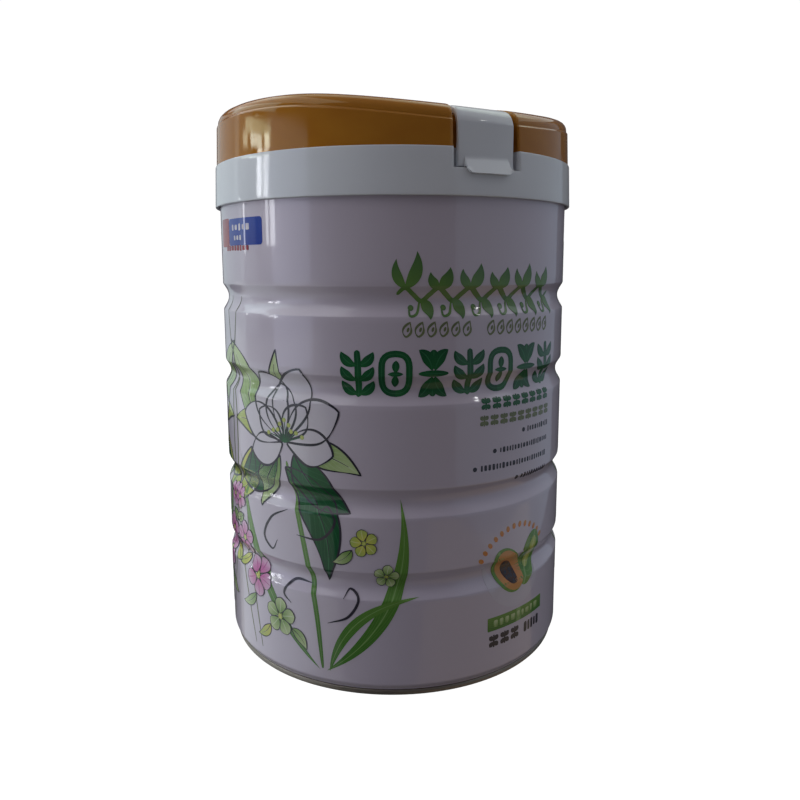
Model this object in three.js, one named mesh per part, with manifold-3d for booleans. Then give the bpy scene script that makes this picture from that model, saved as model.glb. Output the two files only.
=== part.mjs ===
// Shut milk powder tin: a round tinplate can with four rolled beads and a seamed
// base, closed by a plastic overcap. The overcap is a white collar ring, an amber
// cover whose top dips towards the front, a white latch strap that hooks over the
// collar, and a white hinge plate opposite the latch.
// Millimetres, +Z up, origin at the middle of the base, printed front towards -Y.
import * as THREE from 'three';
import { mergeVertices } from 'three/addons/utils/BufferGeometryUtils.js';
import Module from 'manifold-3d';

// The can
const CAN_RADIUS = 63.5;
const CAN_HEIGHT = 165;
const BEAD_HEIGHT = 9.3;
const BEAD_DEPTH = 1.9;
const BEAD_SHARPNESS = 1.3;
const BEAD_OFFSETS = [-44.9, -17.8, 17.8, 44.9];
const NECK_RADIUS = 61.75;
const NECK_TOP = 6.4;

// The seamed base
const SEAM_RADIUS = 62.3;
const SEAM_HEIGHT = 2.8;
const SEAM_INNER_RADIUS = 59.7;
const PANEL_UNDERSIDE = 3.6;
const PANEL_THICKNESS = 1.2;

// The collar ring
const RING_BASE = 158.45;
const RING_TOP = 172.6;
const RING_BASE_RADIUS = 65.11;
const RING_TOP_RADIUS = 64.3;
const RING_EDGE = 0.4;

// The amber cover
const COVER_BASE = 172.9;
const COVER_BASE_RADIUS = 64.4;
const CREASE_HEIGHT = 186.3;
const CREASE_RADIUS = 63.75;
const SHOULDER_WIDTH = 5.0;
const SHOULDER_RISE = 4.8;
const DISH_RADIUS = 43.5;
const DISH_DEPTH = 0.8;

// The dip of the cover's top towards the latch
const LATCH_ANGLE = THREE.MathUtils.degToRad(26.6);
const DIP_SLOPE = 0.224;
const DIP_START = 40.6;
const DIP_BLEND = 17.2;

// The latch strap, its tab and the hinge plate
const OPENING_HALF_ANGLE = THREE.MathUtils.degToRad(10.55);
const STRAP_HALF_ANGLE = THREE.MathUtils.degToRad(9.2);
const TAB_HALF_ANGLE = THREE.MathUtils.degToRad(7.1);
const HINGE_HALF_ANGLE = THREE.MathUtils.degToRad(10.2);
const STRAP_RADIUS = 63.45;
const STRAP_THICKNESS = 1.75;
const STRAP_SINK = 0.3;
const STRAP_REACH = 46.2;
const NOTCH_FLOOR = 166.6;
const STRAP_FOOT = 167.0;
const TAB_FOOT = 164.9;
const TAB_RADIUS = 66.2;
const TAB_INNER_RADIUS = 65.05;
const TAB_CORNER = 2;
const HINGE_TOP = 177.4;
const HINGE_GROOVE = 0.7;

const GAP = 0.3;
const SEGMENTS = 64;
const COVER_TOP = CREASE_HEIGHT + SHOULDER_RISE;
const CUT_RADIUS = 72;
const CUT_TOP = 200;

const wasm = await Module();
wasm.setup();

/** Merges doubled corners and drops the faces that this leaves without area. */
function closed(geometry) {
  geometry.deleteAttribute('normal');
  geometry.deleteAttribute('uv');
  const merged = mergeVertices(geometry);
  const corners = merged.index.array;
  const kept = [];
  for (let i = 0; i < corners.length; i += 3) {
    const [a, b, c] = [corners[i], corners[i + 1], corners[i + 2]];
    if (a !== b && b !== c && c !== a) {
      kept.push(a, b, c);
    }
  }
  merged.setIndex(kept);
  return merged;
}

/** The solid of a closed geometry, ready to be cut or joined. */
function solidOf(geometry) {
  return new wasm.Manifold(new wasm.Mesh({
    numProp: 3,
    vertProperties: new Float32Array(geometry.attributes.position.array),
    triVerts: new Uint32Array(geometry.index.array),
  }));
}

/** The geometry of a solid. */
function geometryOf(solid) {
  const mesh = solid.getMesh();
  const geometry = new THREE.BufferGeometry();
  geometry.setAttribute('position', new THREE.BufferAttribute(mesh.vertProperties, 3));
  geometry.setIndex(new THREE.BufferAttribute(mesh.triVerts, 1));
  return geometry;
}

/** A closed body turned from [radius, height] pairs that start and end on the axis. */
function turned(outline) {
  const points = outline.map(([radius, height]) => new THREE.Vector2(radius, height));
  return closed(new THREE.LatheGeometry(points, SEGMENTS).rotateX(Math.PI / 2));
}

/** A closed body whose [radius, height] section runs round the axis by a half angle each way. */
function bent(outline, middle, halfAngle, steps) {
  const shape = new THREE.Shape(outline.map(([radius, height]) => new THREE.Vector2(radius, height)));
  const geometry = closed(new THREE.ExtrudeGeometry(shape, { depth: 1, steps, bevelEnabled: false }));
  const position = geometry.attributes.position;
  for (let i = 0; i < position.count; i += 1) {
    const radius = position.getX(i);
    const height = position.getY(i);
    const angle = middle + (1 - 2 * position.getZ(i)) * halfAngle;
    position.setXYZ(i, radius * Math.sin(angle), -radius * Math.cos(angle), height);
  }
  return geometry;
}

/** How far the cover's top lies below its level part at a place in plan. */
function dip(x, y) {
  const forward = x * Math.sin(LATCH_ANGLE) - y * Math.cos(LATCH_ANGLE) - DIP_START;
  return DIP_SLOPE * 0.5 * (forward + Math.hypot(forward, DIP_BLEND));
}

/** Lets a level overcap shape sink by the dip, in full above the crease, not at all at its foot. */
function lowered(geometry) {
  const position = geometry.attributes.position;
  for (let i = 0; i < position.count; i += 1) {
    const height = position.getZ(i);
    const share = THREE.MathUtils.clamp((height - COVER_BASE) / (CREASE_HEIGHT - COVER_BASE), 0, 1);
    position.setZ(i, height - share * dip(position.getX(i), position.getY(i)));
  }
  return geometry;
}

/** The shoulder from the crease up to the top, as [radius, height] pairs, set in and down. */
function shoulder(inset, sink, steps) {
  const start = new THREE.Vector2(CREASE_RADIUS - inset, CREASE_HEIGHT);
  const end = new THREE.Vector2(CREASE_RADIUS - SHOULDER_WIDTH, COVER_TOP - sink);
  const bend = new THREE.Vector2(start.x - 0.2 * SHOULDER_WIDTH, start.y + 0.75 * SHOULDER_RISE);
  const curve = new THREE.QuadraticBezierCurve(start, bend, end);
  return curve.getPoints(steps).map((point) => [point.x, point.y]);
}

/** One bead of the can's wall, from its lower edge to its upper one. */
function bead(middle) {
  const places = [-1, -0.82, -0.45, 0, 0.45, 0.82, 1];
  return places.map((place) => {
    const depth = BEAD_DEPTH * (1 - place * place) ** BEAD_SHARPNESS;
    return [CAN_RADIUS - depth, middle + place * BEAD_HEIGHT / 2];
  });
}

/** The can: straight wall with four beads, drawn in at its foot over the base seam. */
function can() {
  const underside = PANEL_UNDERSIDE + PANEL_THICKNESS + GAP;
  const foot = SEAM_HEIGHT + GAP;
  const neck = new THREE.CubicBezierCurve(
    new THREE.Vector2(NECK_RADIUS, foot),
    new THREE.Vector2(NECK_RADIUS + 0.1, foot + 1.2),
    new THREE.Vector2(CAN_RADIUS, NECK_TOP - 1.6),
    new THREE.Vector2(CAN_RADIUS, NECK_TOP),
  ).getPoints(4).map((point) => [point.x, point.y]);
  return turned([
    [0, underside],
    [SEAM_INNER_RADIUS + 0.1, underside],
    [SEAM_INNER_RADIUS + 0.6, foot],
    ...neck,
    ...BEAD_OFFSETS.flatMap((offset) => bead(CAN_HEIGHT / 2 + offset)),
    [CAN_RADIUS, CAN_HEIGHT - 1],
    [CAN_RADIUS - 0.7, CAN_HEIGHT - GAP],
    [0, CAN_HEIGHT - GAP],
  ]);
}

/** The base: a rolled seam that stands on the floor round a raised panel with a bead. */
function base() {
  return turned([
    [0, PANEL_UNDERSIDE],
    [40, PANEL_UNDERSIDE],
    [41.4, PANEL_UNDERSIDE - 0.8],
    [46.6, PANEL_UNDERSIDE - 0.8],
    [48, PANEL_UNDERSIDE],
    [57.2, PANEL_UNDERSIDE],
    [58.3, PANEL_UNDERSIDE - 0.9],
    [58.9, 0.7],
    [59.6, 0],
    [61.6, 0],
    [SEAM_RADIUS - 0.15, 0.5],
    [SEAM_RADIUS, 1.1],
    [SEAM_RADIUS - 0.1, SEAM_HEIGHT - 0.6],
    [SEAM_RADIUS - 0.6, SEAM_HEIGHT],
    [SEAM_INNER_RADIUS + 0.2, SEAM_HEIGHT],
    [SEAM_INNER_RADIUS - 0.3, PANEL_UNDERSIDE + PANEL_THICKNESS],
    [0, PANEL_UNDERSIDE + PANEL_THICKNESS],
  ]);
}

/** The cut that frees the strap: behind its front face, under its top and out past both. */
function strapOpening() {
  const back = STRAP_RADIUS - STRAP_THICKNESS - GAP;
  const floor = COVER_TOP - STRAP_SINK - STRAP_THICKNESS - GAP;
  return lowered(bent([
    [back, COVER_BASE - 2],
    [CUT_RADIUS, COVER_BASE - 2],
    [CUT_RADIUS, CUT_TOP],
    [STRAP_REACH - GAP, CUT_TOP],
    [STRAP_REACH - GAP, floor],
    [CREASE_RADIUS - SHOULDER_WIDTH - 1.8, floor],
    [back - 1.4, CREASE_HEIGHT + 1.2],
    [back, CREASE_HEIGHT - 1.6],
  ], LATCH_ANGLE, OPENING_HALF_ANGLE, 8));
}

/** A cut through an upright wall, open to the outside, between two heights. */
function wallNotch(middle, foot, top) {
  const back = STRAP_RADIUS - STRAP_THICKNESS - GAP;
  const outline = [[back, foot], [CUT_RADIUS, foot], [CUT_RADIUS, top], [back, top]];
  return bent(outline, middle, OPENING_HALF_ANGLE, 8);
}

/** The collar: a shallow cap on the can, flared to its foot, notched for latch and hinge. */
function ring() {
  const inner = CAN_RADIUS + GAP;
  const blank = turned([
    [0, CAN_HEIGHT],
    [inner, CAN_HEIGHT],
    [inner, RING_BASE + 0.6],
    [inner + 0.25, RING_BASE],
    [RING_BASE_RADIUS - 0.2, RING_BASE],
    [RING_BASE_RADIUS, RING_BASE + 0.25],
    [RING_TOP_RADIUS, RING_TOP - RING_EDGE],
    [RING_TOP_RADIUS - RING_EDGE, RING_TOP],
    [0, RING_TOP],
  ]);
  const notches = [LATCH_ANGLE, LATCH_ANGLE + Math.PI].map((middle) => (
    solidOf(wallNotch(middle, NOTCH_FLOOR, RING_TOP + 5))
  ));
  return geometryOf(solidOf(blank).subtract(notches[0]).subtract(notches[1]));
}

/** The cover: upright wall, crease, rounded shoulder and a dished top, all dipping to the latch. */
function cover() {
  const blank = lowered(turned([
    [0, COVER_BASE],
    [COVER_BASE_RADIUS - 0.25, COVER_BASE],
    [COVER_BASE_RADIUS, COVER_BASE + 0.3],
    ...shoulder(0, 0, 6),
    [51, COVER_TOP],
    [DISH_RADIUS, COVER_TOP],
    [DISH_RADIUS - DISH_DEPTH, COVER_TOP - DISH_DEPTH],
    [28, COVER_TOP - DISH_DEPTH],
    [14, COVER_TOP - DISH_DEPTH],
    [0, COVER_TOP - DISH_DEPTH],
  ]));
  const hingeCut = wallNotch(LATCH_ANGLE + Math.PI, COVER_BASE - 2, HINGE_TOP + GAP);
  return geometryOf(solidOf(blank).subtract(solidOf(strapOpening())).subtract(solidOf(hingeCut)));
}

/** The strap: a plate that follows the cover's wall, shoulder and top, set a little in. */
function strap() {
  const inset = CREASE_RADIUS - STRAP_RADIUS + 0.4;
  const back = STRAP_RADIUS - STRAP_THICKNESS;
  const underside = COVER_TOP - STRAP_SINK - STRAP_THICKNESS;
  return lowered(bent([
    [back, STRAP_FOOT],
    [STRAP_RADIUS, STRAP_FOOT],
    ...shoulder(inset, STRAP_SINK, 6),
    [STRAP_REACH, COVER_TOP - STRAP_SINK],
    [STRAP_REACH, underside],
    [CREASE_RADIUS - SHOULDER_WIDTH - 1.5, underside],
    [back - 1.2, CREASE_HEIGHT + 1],
    [back, CREASE_HEIGHT - 1.6],
  ], LATCH_ANGLE, STRAP_HALF_ANGLE, 8));
}

/** The tab: the hooked lip under the strap, in front of the collar, with rounded lower corners. */
function tab() {
  const lip = new THREE.QuadraticBezierCurve(
    new THREE.Vector2(TAB_RADIUS, TAB_FOOT + 0.4),
    new THREE.Vector2(TAB_RADIUS - 0.3, STRAP_FOOT + 1.3),
    new THREE.Vector2(STRAP_RADIUS - 0.1, STRAP_FOOT + 2),
  ).getPoints(5).map((point) => [point.x, point.y]);
  const geometry = bent([
    [STRAP_RADIUS - 1, STRAP_FOOT],
    [TAB_INNER_RADIUS, STRAP_FOOT],
    [TAB_INNER_RADIUS, TAB_FOOT + 0.3],
    [TAB_INNER_RADIUS + 0.3, TAB_FOOT],
    [TAB_RADIUS - 0.4, TAB_FOOT],
    ...lip,
    [STRAP_RADIUS - 1, STRAP_FOOT + 2],
  ], LATCH_ANGLE, TAB_HALF_ANGLE, 12);
  const position = geometry.attributes.position;
  for (let i = 0; i < position.count; i += 1) {
    const angle = Math.atan2(position.getX(i), -position.getY(i)) - LATCH_ANGLE;
    const fromEnd = (TAB_HALF_ANGLE - Math.abs(angle)) * TAB_RADIUS;
    const inCorner = THREE.MathUtils.clamp(1 - fromEnd / TAB_CORNER, 0, 1);
    const below = THREE.MathUtils.clamp((STRAP_FOOT - position.getZ(i)) / (STRAP_FOOT - TAB_FOOT), 0, 1);
    const rise = below * TAB_CORNER * (1 - Math.sqrt(1 - inCorner * inCorner));
    position.setZ(i, position.getZ(i) + rise);
  }
  return geometry;
}

/** The latch: strap and tab in one piece. */
function latch() {
  return geometryOf(solidOf(strap()).add(solidOf(tab())));
}

/** The hinge plate at the back, with the thin line it bends along between collar and cover. */
function hinge() {
  const back = STRAP_RADIUS - STRAP_THICKNESS;
  const line = (RING_TOP + COVER_BASE) / 2;
  return bent([
    [back, STRAP_FOOT],
    [STRAP_RADIUS, STRAP_FOOT],
    [STRAP_RADIUS, line - HINGE_GROOVE],
    [STRAP_RADIUS - HINGE_GROOVE, line],
    [STRAP_RADIUS, line + HINGE_GROOVE],
    [STRAP_RADIUS, HINGE_TOP],
    [back, HINGE_TOP],
  ], LATCH_ANGLE + Math.PI, HINGE_HALF_ANGLE, 8);
}

const finishes = {
  print: { color: '#cfc6d6', roughness: 0.3, metalness: 0.1 },
  tinplate: { color: '#6f6248', roughness: 0.35, metalness: 0.8 },
  whitePlastic: { color: '#dfe2e8', roughness: 0.35, metalness: 0 },
  amberPlastic: { color: '#8a5a1e', roughness: 0.2, metalness: 0 },
};

/** One named piece of the tin. */
function piece(name, geometry, finish) {
  const mesh = new THREE.Mesh(geometry, new THREE.MeshStandardMaterial(finish));
  mesh.name = name;
  return mesh;
}

const tin = new THREE.Group();
tin.add(
  piece('can_body', can(), finishes.print),
  piece('base_end', base(), finishes.tinplate),
  piece('collar_ring', ring(), finishes.whitePlastic),
  piece('amber_cover', cover(), finishes.amberPlastic),
  piece('latch_strap', latch(), finishes.whitePlastic),
  piece('hinge_plate', hinge(), finishes.whitePlastic),
);

export default tin;
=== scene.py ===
"""Looks for a shut milk powder tin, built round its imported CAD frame.

Sizes are in millimetres and become metres when a mesh is made. The origin is the middle of the base,
+Z is up and the printed front faces -Y. An angle round the tin is measured from -Y towards +X, and a
place on the print is (across, up): across is the arc length on the wall from the middle of the front,
up is the height over the floor.
"""

import logging
import math
from dataclasses import dataclass, field
from enum import Enum
from typing import Sequence

import bmesh
import bpy
import numpy as np
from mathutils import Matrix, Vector
from numpy.typing import NDArray

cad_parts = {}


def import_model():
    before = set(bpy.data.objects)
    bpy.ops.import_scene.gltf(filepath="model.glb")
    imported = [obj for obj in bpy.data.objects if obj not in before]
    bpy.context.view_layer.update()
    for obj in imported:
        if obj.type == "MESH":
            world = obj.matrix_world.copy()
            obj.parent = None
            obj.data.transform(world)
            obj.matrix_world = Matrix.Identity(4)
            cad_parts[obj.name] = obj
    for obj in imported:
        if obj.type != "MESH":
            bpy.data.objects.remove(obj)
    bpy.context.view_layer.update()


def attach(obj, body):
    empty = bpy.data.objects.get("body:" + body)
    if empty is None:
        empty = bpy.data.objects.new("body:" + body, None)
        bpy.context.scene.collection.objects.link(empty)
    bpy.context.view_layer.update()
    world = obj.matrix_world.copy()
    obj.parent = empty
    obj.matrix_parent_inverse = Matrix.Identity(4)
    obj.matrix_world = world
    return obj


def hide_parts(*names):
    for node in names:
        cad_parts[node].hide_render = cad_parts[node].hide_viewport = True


Array = NDArray[np.float64]
Faces = NDArray[np.int64]
Colour = tuple[float, float, float]
Pair = tuple[float, float]
Place = Pair | Array
Reach = Sequence[float | Pair]
Object = bpy.types.Object
Material = bpy.types.Material
Socket = bpy.types.NodeSocket

BODY = "root"
MM = 0.001
WELD = 1e-6
TINY = 1e-9
TURN = 2 * math.pi
CREASE_ANGLE = math.radians(34)
MOST_ROUNDED = 0.97

log = logging.getLogger("milk_powder_tin")


class Slot(Enum):
    """The record's material slots."""

    PRINT = "printed_tinplate"
    TINPLATE = "bare_tinplate"
    WHITE = "white_plastic"
    AMBER = "amber_plastic"


# Curves and meshes


def joined(*coordinates: Array) -> Array:
    """Coordinates that are each a row, a column or a grid, put together as points."""
    return np.stack(np.broadcast_arrays(*coordinates), axis=-1)


def quarter_turn(steps: int) -> Array:
    """Angles from 0 to a right angle in equal steps."""
    return np.linspace(0.0, math.pi / 2, steps + 1)


def even_angles(count: int) -> Array:
    """Angles once round, the first one again at the end."""
    return np.linspace(-math.pi, math.pi, count + 1)


def bezier(start: Array, bend: Array, end: Array, count: int) -> Array:
    """A quadratic curve of count points: (1-t)^2 start + 2t(1-t) bend + t^2 end."""
    t = np.linspace(0.0, 1.0, count)[:, None]
    return (1 - t) ** 2 * start + 2 * t * (1 - t) * bend + t**2 * end


def softened(corners: Sequence[Pair], reach: Reach, spans: Sequence[int], bend: int = 6) -> Array:
    """A line through corners, each rounded, with its straights cut into equal steps.

    A corner becomes the quadratic curve that starts its reach before it and ends its reach after it.

    Args:
        corners: (radius, height) corners, ends included.
        reach: For each corner, how far its rounding runs, or how far before and after it.
        spans: For each straight, how many steps it is cut into.
        bend: How many steps each rounding has.

    Returns:
        The points of the line, one a row.
    """
    points = np.array(corners, float)
    parts = [points[:1]]
    for i, corner in enumerate(points[1:], 1):
        curve = corner[None, :]
        if i < len(points) - 1:
            runs = reach[i] if isinstance(reach[i], tuple) else (reach[i], reach[i])
            ends = [corner + side * min(MOST_ROUNDED, run / max(float(np.hypot(*side)), TINY))
                    for run, side in zip(runs, points[[i - 1, i + 1]] - corner)]
            curve = bezier(ends[0], corner, ends[1], bend + 1)
        leave = parts[-1][-1]
        steps = np.linspace(0.0, 1.0, spans[i - 1] + 1)[1:-1, None]
        parts += [leave + (curve[0] - leave) * steps, curve]
    return np.concatenate(parts)


def blended(base: Array, *others: tuple[Array, Array]) -> Array:
    """A line for each angle: base, and each other line's way from base by its share at that angle."""
    total = base[:, None, :]
    for share, line in others:
        total = total + share[None, :, None] * (line - base)[:, None, :]
    return total


def turned_points(radius: Array, height: Array, angle: Array) -> Array:
    """Points at a radius and height, at an angle from -Y towards +X: (r sin a, -r cos a, z)."""
    return joined(radius * np.sin(angle), -radius * np.cos(angle), height)


def turned(outline: Array, angles: Array) -> Array:
    """An outline of (radius, height), one for all angles or one for each, turned by the angles."""
    each = outline[:, None] if outline.ndim == 2 else outline
    return turned_points(each[..., 0], each[..., 1], angles)


def grid_faces(rows: int, columns: int) -> Faces:
    """The four corner numbers of each cell of a grid of points."""
    ids = np.arange(rows * columns).reshape(rows, columns)
    return np.stack([ids[:-1, :-1], ids[:-1, 1:], ids[1:, 1:], ids[1:, :-1]], axis=-1).reshape(-1, 4)


def settle(work: bmesh.types.BMesh, mesh: bpy.types.Mesh) -> None:
    """Writes a worked mesh back, smooth except along its creases."""
    work.to_mesh(mesh)
    work.free()
    mesh.shade_smooth()
    mesh.set_sharp_from_angle(angle=CREASE_ANGLE)


def make_object(name: str, points: Array, faces: Faces, finish: Material,
                lay: Array | None = None) -> Object:
    """An object at the origin whose mesh has these points and faces, doubles merged.

    Args:
        name: The object's name.
        points: Points in millimetres, one a row.
        faces: Corner numbers of each four-sided face.
        finish: The material.
        lay: A pair of pattern coordinates for each point, kept as the UV map "Lay".

    Returns:
        The object, linked to the scene.
    """
    mesh = bpy.data.meshes.new(name)
    mesh.from_pydata((points * MM).tolist(), [], faces.tolist())
    mesh.materials.append(finish)
    if lay is not None:
        layer = mesh.uv_layers.new(name="Lay")
        layer.data.foreach_set("uv", lay[faces.ravel()].astype(np.float32).ravel())
    work = bmesh.new()
    work.from_mesh(mesh)
    bmesh.ops.remove_doubles(work, verts=work.verts, dist=WELD)
    bmesh.ops.dissolve_degenerate(work, edges=work.edges, dist=WELD)
    if lay is None:
        bmesh.ops.recalc_face_normals(work, faces=work.faces)
    settle(work, mesh)
    made = bpy.data.objects.new(name, mesh)
    bpy.context.scene.collection.objects.link(made)
    return made


def grid_object(name: str, points: Array, finish: Material) -> Object:
    """An object whose skin is a grid of points, by row, column and axis."""
    return make_object(name, points.reshape(-1, 3), grid_faces(*points.shape[:2]), finish)


def thicken(made: Object, depth: float) -> None:
    """Closes an open skin round the tin's axis by a second skin, depth millimetres nearer the axis."""
    work = bmesh.new()
    work.from_mesh(made.data)
    grown = bmesh.ops.extrude_face_region(work, geom=work.faces[:], use_keep_orig=True)
    for item in grown["geom"]:
        if isinstance(item, bmesh.types.BMVert):
            share = 1.0 - depth * MM / math.hypot(item.co.x, item.co.y)
            item.co.x, item.co.y = item.co.x * share, item.co.y * share
    bmesh.ops.recalc_face_normals(work, faces=work.faces)
    settle(work, made.data)


@dataclass(frozen=True)
class SoftStep:
    """How a wall steps in at both ends of a notch, as columns of a grid.

    Each end is a rounded outer corner, a straight side and a rounded inner corner. At a column the
    share runs from 0, the full wall, to 1, the notch's own wall.
    """

    half: float
    depth: float
    radius: float
    outer: float = 0.4
    inner: float = 0.35
    steps: int = 4

    def columns(self, between: int) -> tuple[Array, Array]:
        """The columns' angles from the notch's middle and their shares, with some between its ends."""
        turn = quarter_turn(self.steps)
        along = np.concatenate([self.outer * (np.sin(turn) - 1), self.inner * (1 - np.cos(turn))])
        deep = np.concatenate([self.outer * (1 - np.cos(turn)), self.depth - self.inner * (1 - np.sin(turn))])
        angle = self.half - along / self.radius
        share = np.clip(deep / self.depth, 0.0, 1.0)
        flat = np.linspace(-angle[-1], angle[-1], between + 2)[1:-1]
        return (np.concatenate([-angle, flat, angle[::-1]]),
                np.concatenate([share, np.ones(between), share[::-1]]))


# Nodes


class Nodes:
    """The nodes of a material or a world, added one by one."""

    def __init__(self, owner: bpy.types.ID, shader: str = "Principled BSDF") -> None:
        """Starts the owner's nodes and finds the shader that they feed."""
        owner.use_nodes = True
        self.owner = owner
        self.tree = owner.node_tree
        self.shader = self.tree.nodes[shader]
        self.place = self.add("ShaderNodeTexCoord").outputs

    def add(self, kind: str, inputs: dict[str | int, object] | None = None,
            **settings: object) -> bpy.types.Node:
        """A new node of a kind, with these of its properties set and these of its inputs fed."""
        node = self.tree.nodes.new(kind)
        for key, value in settings.items():
            setattr(node, key, value)
        for key, value in (inputs or {}).items():
            self.feed(node.inputs[key], value)
        return node

    def feed(self, socket: Socket, value: object) -> None:
        """Links a socket to another one, or gives it a plain value."""
        if isinstance(value, Socket):
            self.tree.links.new(value, socket)
        else:
            socket.default_value = (*value, 1.0) if socket.type == "RGBA" else value

    def set(self, **values: object) -> None:
        """Feeds the shader's sockets, named with _ for a space."""
        for key, value in values.items():
            self.feed(self.shader.inputs[key.replace("_", " ")], value)

    def noise(self, scale: float, detail: float = 3.0, stretch: Colour | None = None,
              distortion: float = 0.0) -> Socket:
        """Noise of a number of spots to the metre, drawn out along the axes where stretch says so."""
        vector = self.place["Object"]
        if stretch is not None:
            vector = self.add("ShaderNodeMapping", {"Vector": vector, "Scale": stretch}).outputs["Vector"]
        inputs = {"Vector": vector, "Scale": scale, "Detail": detail, "Distortion": distortion}
        return self.add("ShaderNodeTexNoise", inputs).outputs["Fac"]

    def axes(self, vector: Socket) -> bpy.types.bpy_prop_collection:
        """The X, Y and Z of a vector."""
        return self.add("ShaderNodeSeparateXYZ", {0: vector}).outputs

    def math(self, operation: str, *values: object) -> Socket:
        """The result of a math node."""
        return self.add("ShaderNodeMath", dict(enumerate(values)), operation=operation).outputs[0]

    def ranged(self, value: Socket, source: Pair, target: Pair = (0.0, 1.0),
               course: str = "SMOOTHSTEP") -> Socket:
        """A value carried from one range to another, and held at its ends."""
        names = ("Value", "From Min", "From Max", "To Min", "To Max")
        inputs = dict(zip(names, (value, *source, *target)))
        return self.add("ShaderNodeMapRange", inputs, interpolation_type=course).outputs["Result"]

    def mixed(self, share: object, low: object, high: object) -> Socket:
        """A colour between low and high."""
        return self.add("ShaderNodeMix", {"Factor": share, 6: low, 7: high}, data_type="RGBA").outputs[2]

    def bump(self, height: Socket, distance: float, strength: float) -> None:
        """Raises the surface by a height, in metres at 1."""
        inputs = {"Strength": strength, "Distance": distance, "Height": height}
        self.set(Normal=self.add("ShaderNodeBump", inputs).outputs["Normal"])


@dataclass(frozen=True)
class PearlLacquer:
    """The can's printed ground: pale pearl under clear lacquer."""

    pearl: Colour = (0.56, 0.51, 0.58)
    warm: Colour = (0.545, 0.485, 0.555)
    cool: Colour = (0.525, 0.475, 0.56)

    def material(self) -> Material:
        """Slow drift between warm and cool pearl, a fine flake, and a faint orange peel."""
        nodes = Nodes(bpy.data.materials.new("pearl_lacquer"))
        drift = nodes.ranged(nodes.noise(9.0, 2.0), (0.35, 0.65))
        flake = nodes.ranged(nodes.noise(2600.0, 2.0), (0.35, 0.7))
        ground = nodes.mixed(drift, self.warm, self.cool)
        nodes.set(
            Base_Color=nodes.mixed(nodes.math("MULTIPLY", flake, 0.22), ground, self.pearl),
            Roughness=nodes.ranged(nodes.noise(60.0, 3.0), (0.3, 0.7), (0.30, 0.38)),
            Metallic=0.04,
            Specular_IOR_Level=0.3,
            Coat_Weight=0.8,
            Coat_Roughness=0.04,
        )
        fine = nodes.math("MULTIPLY", nodes.noise(420.0, 2.0), 0.35)
        nodes.bump(nodes.math("ADD", fine, nodes.noise(38.0, 1.0)), 0.00012, 0.35)
        return nodes.owner


@dataclass(frozen=True)
class Ink:
    """One printing ink under the can's lacquer, which may fade from one end of a shape to the other."""

    name: str
    start: Colour
    end: Colour
    vein: Colour | None = None
    rough: float = 0.33

    def material(self) -> Material:
        """A fade along each shape, an optional pale middle vein, and the ink film's fine mottle."""
        nodes = Nodes(bpy.data.materials.new(self.name))
        lay = nodes.axes(nodes.add("ShaderNodeUVMap", uv_map="Lay").outputs["UV"])
        mottle = nodes.noise(900.0, 3.0)
        along = nodes.math("ADD", lay["Y"], nodes.ranged(mottle, (0.2, 0.8), (-0.06, 0.06)))
        colour = nodes.mixed(nodes.ranged(along, (0.0, 1.0)), self.start, self.end)
        if self.vein is not None:
            middle = nodes.math("ABSOLUTE", nodes.math("SUBTRACT", lay["X"], 0.5))
            slant = nodes.math("ADD", nodes.math("MULTIPLY", middle, -0.9), lay["Y"])
            ribs = nodes.math("SINE", nodes.math("MULTIPLY", slant, 44.0))
            vein = nodes.math("MAXIMUM", nodes.ranged(middle, (0.02, 0.06), (0.8, 0.0)),
                              nodes.ranged(ribs, (0.8, 1.0), (0.0, 0.35)))
            colour = nodes.mixed(vein, colour, self.vein)
        nodes.set(
            Base_Color=colour,
            Roughness=nodes.ranged(mottle, (0.3, 0.7), (self.rough - 0.03, self.rough + 0.04)),
            Specular_IOR_Level=0.1,
            Coat_Weight=0.8,
            Coat_Roughness=0.04,
        )
        nodes.bump(mottle, 0.00001, 0.3)
        return nodes.owner


@dataclass(frozen=True)
class SeamLacquer:
    """Tinplate with rolling lines round the axis, under a brown-gold lacquer on the rolled rim."""

    steel: Colour = (0.50, 0.48, 0.44)
    stain: Colour = (0.43, 0.41, 0.37)
    lacquer: Colour = (0.22, 0.195, 0.16)
    worn: Colour = (0.62, 0.61, 0.58)
    rim_radius: float = 0.0588
    rim_height: float = 0.0026
    rim_edge: float = 0.0003
    foot: float = 0.0006

    def material(self) -> Material:
        """Fine lines, thin stains and small scuffs on the edge that stands on the floor."""
        nodes = Nodes(bpy.data.materials.new("seam_lacquer"))
        stain = nodes.ranged(nodes.noise(55.0, 4.0, distortion=0.6), (0.42, 0.68))
        lines = nodes.noise(160.0, 2.0, stretch=(1.0, 1.0, 14.0))
        place = nodes.axes(nodes.place["Object"])
        foot = nodes.ranged(place["Z"], (0.0, self.foot), (0.7, 0.0))
        scuff = nodes.math("MULTIPLY", foot, nodes.ranged(nodes.noise(700.0, 3.0), (0.45, 0.6)))
        squares = [nodes.math("MULTIPLY", place[axis], place[axis]) for axis in "XY"]
        radius = nodes.math("SQRT", nodes.math("ADD", *squares))
        outside = nodes.ranged(radius, (self.rim_radius - self.rim_edge, self.rim_radius))
        below = nodes.ranged(place["Z"], (self.rim_height, self.rim_height + self.rim_edge), (1.0, 0.0))
        rim = nodes.math("MULTIPLY", outside, below)
        colour = nodes.mixed(rim, nodes.mixed(stain, self.steel, self.stain), self.lacquer)
        nodes.set(
            Base_Color=nodes.mixed(scuff, colour, self.worn),
            Roughness=nodes.ranged(lines, (0.3, 0.7), (0.36, 0.5)),
            Metallic=0.6,
            Coat_Weight=0.3,
            Coat_Roughness=0.2,
        )
        nodes.bump(lines, 0.00004, 0.35)
        return nodes.owner


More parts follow.
